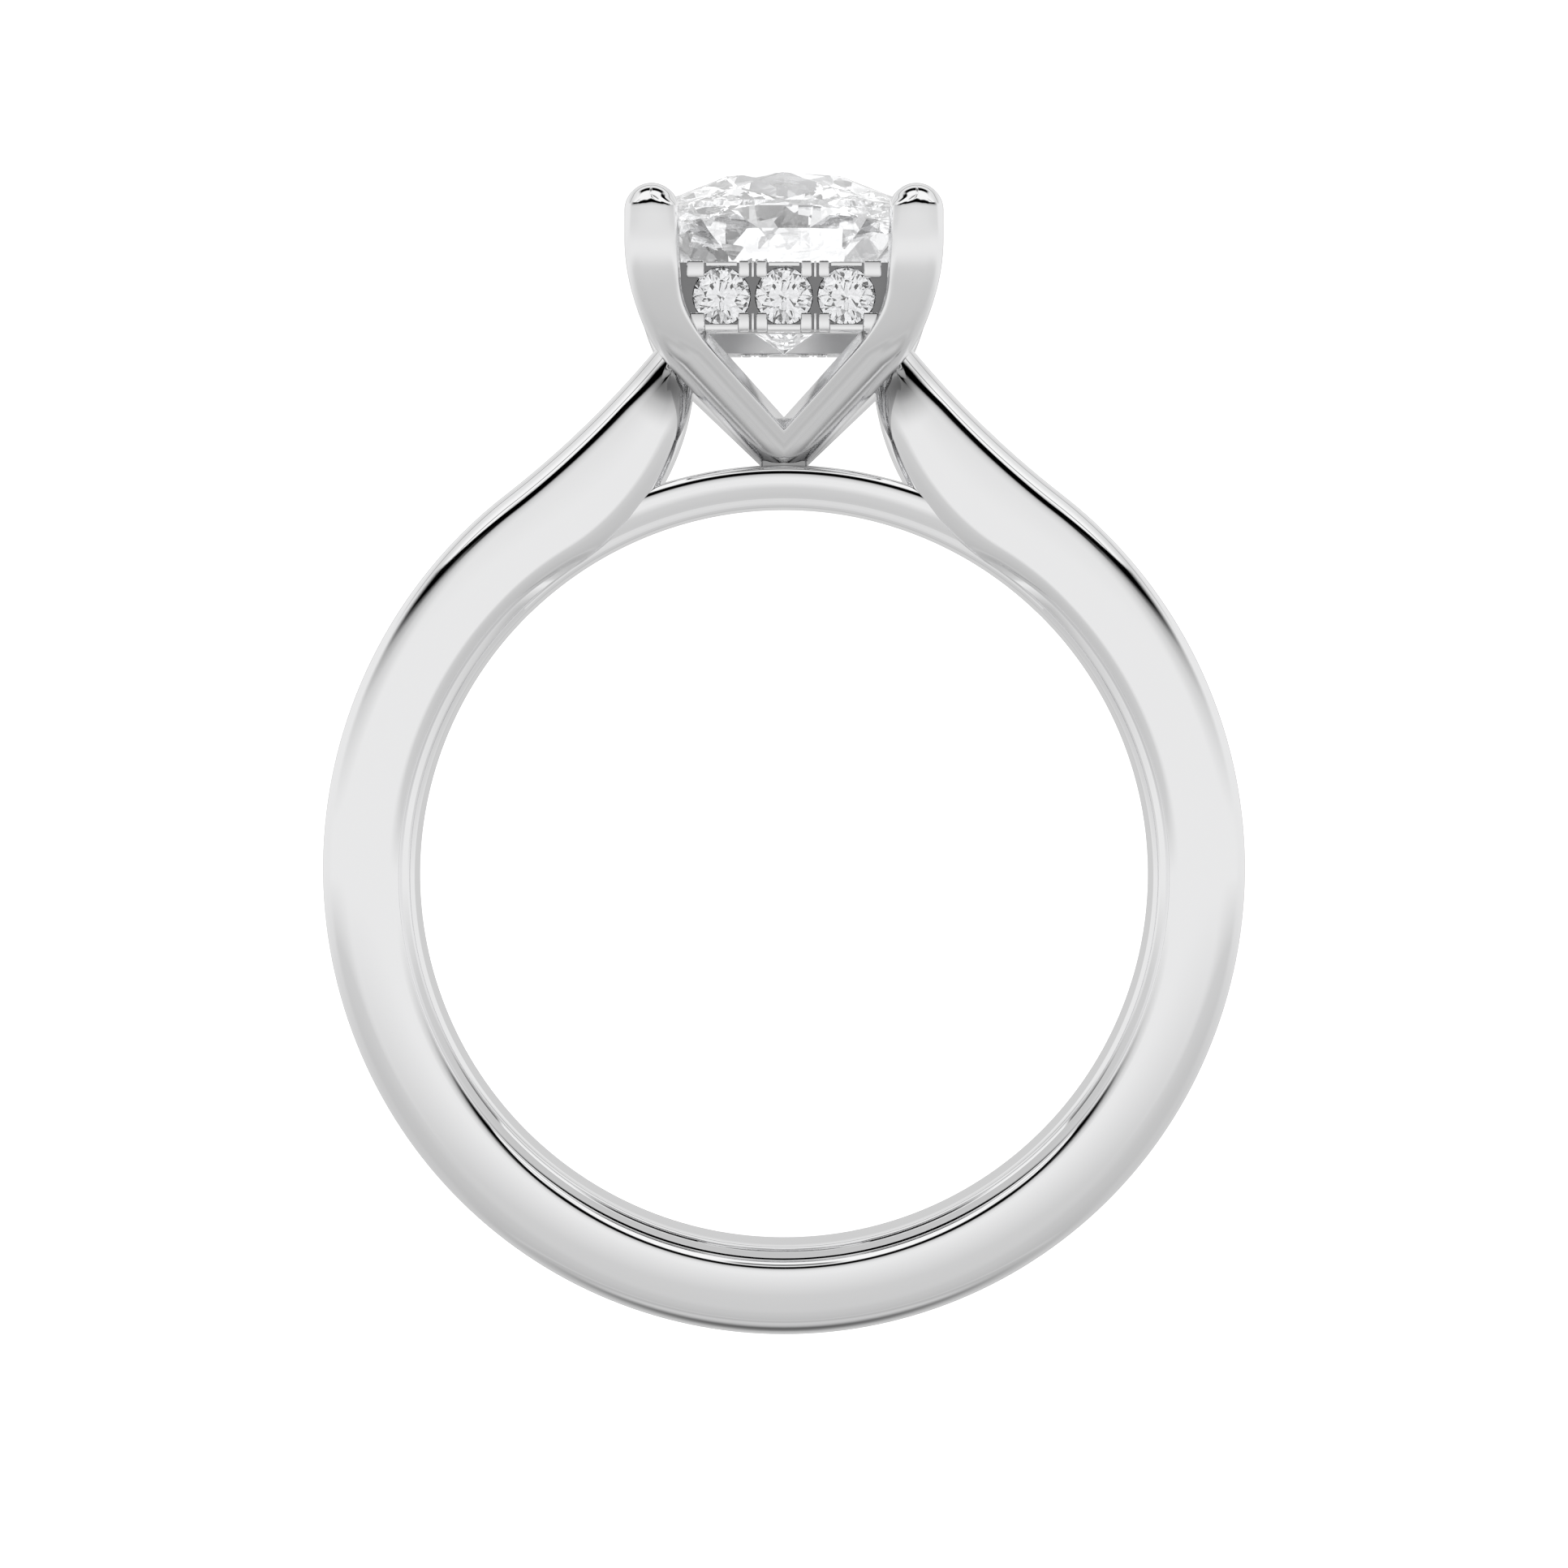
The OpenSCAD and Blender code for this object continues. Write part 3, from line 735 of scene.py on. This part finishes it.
def cut_stone(half, corner, table_r, girdle, crown, pavilion):
    """A brilliant with its table up: stars, kites and breaks above, tiers of facets below."""
    star_height = 0.49
    # Number of points, offset, share of the outline's width, share of the depth, and roundness
    tiers = ((16, 0.5, 0.875, 0.15, 0.4), (8, 0, 0.68, 0.34, 0.8),
             (8, 0.5, 0.46, 0.585, 1), (8, 0, 0.28, 0.775, 1))
    verts, faces = [], []
    above, below = girdle / 2, -girdle / 2
    round_r = half * 1.02

    def ring(count, offset, share, z, round_share=0.0):
        """Points at a share of the outline's width, which may be rounder than the outline."""
        base = len(verts)
        for i in range(count):
            degrees = (i + offset) * 360 / count
            r = (edge_at(half, corner, degrees) * (1 - round_share) + round_r * round_share) * share
            verts.append((r * math.cos(math.radians(degrees)), r * math.sin(math.radians(degrees)), z))
        return base

    share = table_r / half
    table = ring(8, 0, share, above + crown, 1)
    stars = ring(8, 0.5, 0.5 + share / 2, above + crown * star_height)
    upper = ring(32, 0, 1, above)
    lower = ring(32, 0, 1, below)
    first, second, third, fourth = [
        ring(count, offset, width, below - pavilion * depth, roundness)
        for count, offset, width, depth, roundness in tiers
    ]
    culet = ring(1, 0, 0, below - pavilion)
    faces.append(tuple(table + k for k in range(8)))
    for k in range(8):
        after = (k + 1) % 8
        before = (k + 7) % 8
        faces.append((table + k, stars + k, table + after))
        faces.append((table + k, stars + before, upper + 4 * k))
        faces.append((table + k, upper + 4 * k, stars + k))
        for j in range(4 * k, 4 * k + 4):
            faces.append((stars + k, upper + j, upper + (j + 1) % 32))
        faces.append((second + k, first + (2 * k + 15) % 16, first + 2 * k))
        faces.append((third + k, second + k, first + 2 * k))
        faces.append((third + k, first + 2 * k, first + 2 * k + 1))
        faces.append((third + k, first + 2 * k + 1, second + after))
        faces.append((second + k, third + k, third + before))
        faces.append((fourth + k, third + before, third + k))
        faces.append((fourth + k, third + k, fourth + after))
        faces.append((culet, fourth + k, fourth + after))
    for j in range(32):
        faces.append((upper + j, lower + j, lower + (j + 1) % 32, upper + (j + 1) % 32))
        faces.append((first + j // 2, lower + (j + 1) % 32, lower + j))
    for j in range(16):
        faces.append((first + j, first + (j + 1) % 16, lower + (2 * j + 2) % 32))
    return verts, faces


cushion, cushion_faces = cut_stone(*CUSHION)
cushion = [(x, y, z + STONE_Z) for x, y, z in cushion]
center = piece("center_gem", cushion, cushion_faces, large_gem, sharp=0)
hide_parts("center_stone")
for name, obj in frame["nodes"].items():
    if name.startswith("halo_stone"):
        obj.data.materials.clear()
        obj.data.materials.append(gem)

# Floor, light and camera

floor_mat, _, shader = node_material("pale_floor")
shader.inputs["Base Color"].default_value = (0.9, 0.9, 0.9, 1)
shader.inputs["Roughness"].default_value = 0.8
shader.inputs["Specular IOR Level"].default_value = 0.1
shader.inputs["Emission Color"].default_value = (1, 1, 1, 1)
shader.inputs["Emission Strength"].default_value = 0.85
floor_mesh = bpy.data.meshes.new("floor")
FLOOR_HALF = 0.4
corners = [(x * FLOOR_HALF, y * FLOOR_HALF, 0) for x, y in ((-1, -1), (1, -1), (1, 1), (-1, 1))]
floor_mesh.from_pydata(corners, [], [(0, 1, 2, 3)])
floor_mesh.materials.append(floor_mat)
floor = bpy.data.objects.new("floor", floor_mesh)
bpy.context.scene.collection.objects.link(floor)
# The polished metal and the stones mirror the studio itself, not the sheet they lie on
floor.visible_glossy = False
floor.visible_transmission = False

world = bpy.data.worlds.new("studio")
bpy.context.scene.world = world
world.use_nodes = True
wn, wl = world.node_tree.nodes, world.node_tree.links
background = wn["Background"]


def w_math(op, *values):
    return calc(world.node_tree, op, *values)


def w_dot(vector, axis):
    return dot(world.node_tree, vector, axis)


def w_step(*values):
    return step(world.node_tree, *values)


def w_ramp(value, points):
    """A broken line through (value, level) points, for values from -1 to 1."""
    node = wn.new("ShaderNodeValToRGB")
    stops = node.color_ramp.elements
    for stop, (_, grey) in ((stops[0], points[0]), (stops[1], points[-1])):
        stop.color = (grey, grey, grey, 1)
    for at, grey in points[1:-1]:
        stops.new((at + 1) / 2).color = (grey, grey, grey, 1)
    wl.new(w_math("MULTIPLY_ADD", value, 0.5, 0.5), node.inputs["Fac"])
    return node.outputs["Color"]


def w_line(value, middle, half):
    """One on a thin line of the given value, and zero off it."""
    off = w_math("ABSOLUTE", w_math("SUBTRACT", value, middle))
    return w_step(off, half * 0.5, half, 1.0, 0.0)


# Levels of the studio by height, in front of the ring and behind it
FRONT = ((-1, 0.52), (-0.93, 0.62), (-0.88, 0.5), (-0.85, 0.5), (-0.82, 0.6), (-0.79, 0.54), (-0.61, 0.58),
         (-0.43, 0.6), (-0.2, 0.66), (-0.06, 0.87), (0.06, 0.87), (0.15, 0.8), (0.3, 0.68), (0.42, 0.45),
         (0.48, 0.13), (0.52, 0.0), (0.61, 0.0), (0.63, 1.0), (1, 1.0))
BACK = ((-1, 0.1), (-0.96, 0.19), (-0.86, 0.46), (-0.7, 0.6), (-0.5, 0.63), (-0.26, 0.72), (-0.05, 0.85),
        (0.44, 0.87), (0.6, 0.72), (0.75, 0.82), (1, 0.85))

# The studio's dark bars and its spot: middle and half width, in degrees of turn round the level axis
FRONT_BAR = (64, 2.5)
BACK_BAR = (120, 2.5)
TOP_BAR = (91, 12)
SPOT = (56, 9)
# The dark gap and the spot, and how much light the thin bars and the spot take away
GAP_MIDDLE, GAP_HALF, SPOT_HALF = 0.55, 0.17, 0.16
FRONT_SHARE, BACK_SHARE, SPOT_SHARE = 0.7, 0.65, 0.8

direction = wn.new("ShaderNodeTexCoord").outputs["Generated"]
up = w_dot(direction, UP)
near = w_dot(direction, NEAR)
direction_x = w_dot(direction, (1, 0, 0))
turn_up = w_math("ARCTAN2", up, near)


def darken(level, mask, share=1.0):
    """The level, less a share of itself where the mask is one."""
    part = mask if share == 1.0 else w_math("MULTIPLY", mask, share)
    return w_math("MULTIPLY", level, w_math("SUBTRACT", 1.0, part))


def both(*masks):
    """One where every mask is one."""
    out = masks[0]
    for mask in masks[1:]:
        out = w_math("MULTIPLY", out, mask)
    return out


def w_bar(bar):
    """One on a bar, and zero off it."""
    return w_line(turn_up, *[math.radians(degrees) for degrees in bar])


in_front = w_step(near, -0.15, 0.25)
front_level = w_math("MULTIPLY", w_ramp(up, FRONT), in_front)
back_level = darken(w_ramp(up, BACK), in_front)
level = w_math("ADD", front_level, back_level)
# Two thin dark bars over the ring, a wider one above the head, and the gap and the spot in front
middle = w_step(w_math("ABSOLUTE", direction_x), 0.45, 0.6, 1.0, 0.0)
front_bar = darken(both(w_bar(FRONT_BAR), w_step(up, 0.6, 0.65)), middle)
back_bar = both(w_bar(BACK_BAR), w_step(up, 0.45, 0.55))
bars = w_math("ADD", w_math("MULTIPLY", front_bar, FRONT_SHARE), w_math("MULTIPLY", back_bar, BACK_SHARE))
level = darken(level, bars)
level = darken(level, both(w_bar(TOP_BAR), middle))
level = darken(level, both(w_line(up, GAP_MIDDLE, GAP_HALF), middle, in_front))
level = darken(level, both(w_bar(SPOT), w_line(direction_x, 0.0, SPOT_HALF)), SPOT_SHARE)
# The wall straight behind the ring is darker
level = w_math("MULTIPLY", level, w_step(near, -0.95, -0.8, 0.75, 1.0))

# The stones' sparkle: what reaches the eye through them comes from bright and dark patches
PATCHES, DARK_PATCH, BRIGHT_PATCH = 4.5, 0.04, 1.12
patches = wn.new("ShaderNodeTexVoronoi")
patches.inputs["Scale"].default_value = PATCHES
wl.new(direction, patches.inputs["Vector"])
sparkle = w_step(patches.outputs["Color"], 0.22, 0.6, DARK_PATCH, BRIGHT_PATCH)
path = wn.new("ShaderNodeLightPath")
through = path.outputs["Is Transmission Ray"]
seen = path.outputs["Is Camera Ray"]
level = w_math("ADD", darken(level, through), w_math("MULTIPLY", sparkle, through))
# The camera itself sees plain white
level = w_math("ADD", darken(level, seen), seen)
wl.new(level, background.inputs["Strength"])
background.inputs["Color"].default_value = (1, 1, 1, 1)

scene = bpy.context.scene
scene.view_settings.view_transform = "Standard"
scene.view_settings.look = "None"
scene.render.film_transparent = False
scene.cycles.max_bounces = 32
scene.cycles.transmission_bounces = 32
scene.cycles.glossy_bounces = 8

# The photo's camera: its frame in pixels, and its place in millimetres on the upright ring
FRAME_PX = 1932
SENSOR_MM = 36
FOCAL_PX = 4080
DISTANCE = 75
EYE_Z = 3.66
PITCH_PX = 86
PITCH = math.atan(PITCH_PX / FOCAL_PX)
cam_data = bpy.data.cameras.new("camera")
cam_data.sensor_width = SENSOR_MM
cam_data.lens = SENSOR_MM * FOCAL_PX / FRAME_PX
cam_data.clip_start = 0.005
cam_data.clip_end = 5
camera = bpy.data.objects.new("camera", cam_data)
scene.collection.objects.link(camera)
turn = LAID.to_3x3()
look = turn @ Vector((0, math.cos(PITCH), -math.sin(PITCH)))
top = turn @ Vector((0, math.sin(PITCH), math.cos(PITCH)))
right = look.cross(top)
aim = Matrix((right, top, -look)).transposed().to_4x4()
camera.matrix_world = Matrix.Translation(lay((0, -DISTANCE, EYE_Z))) @ aim
scene.camera = camera
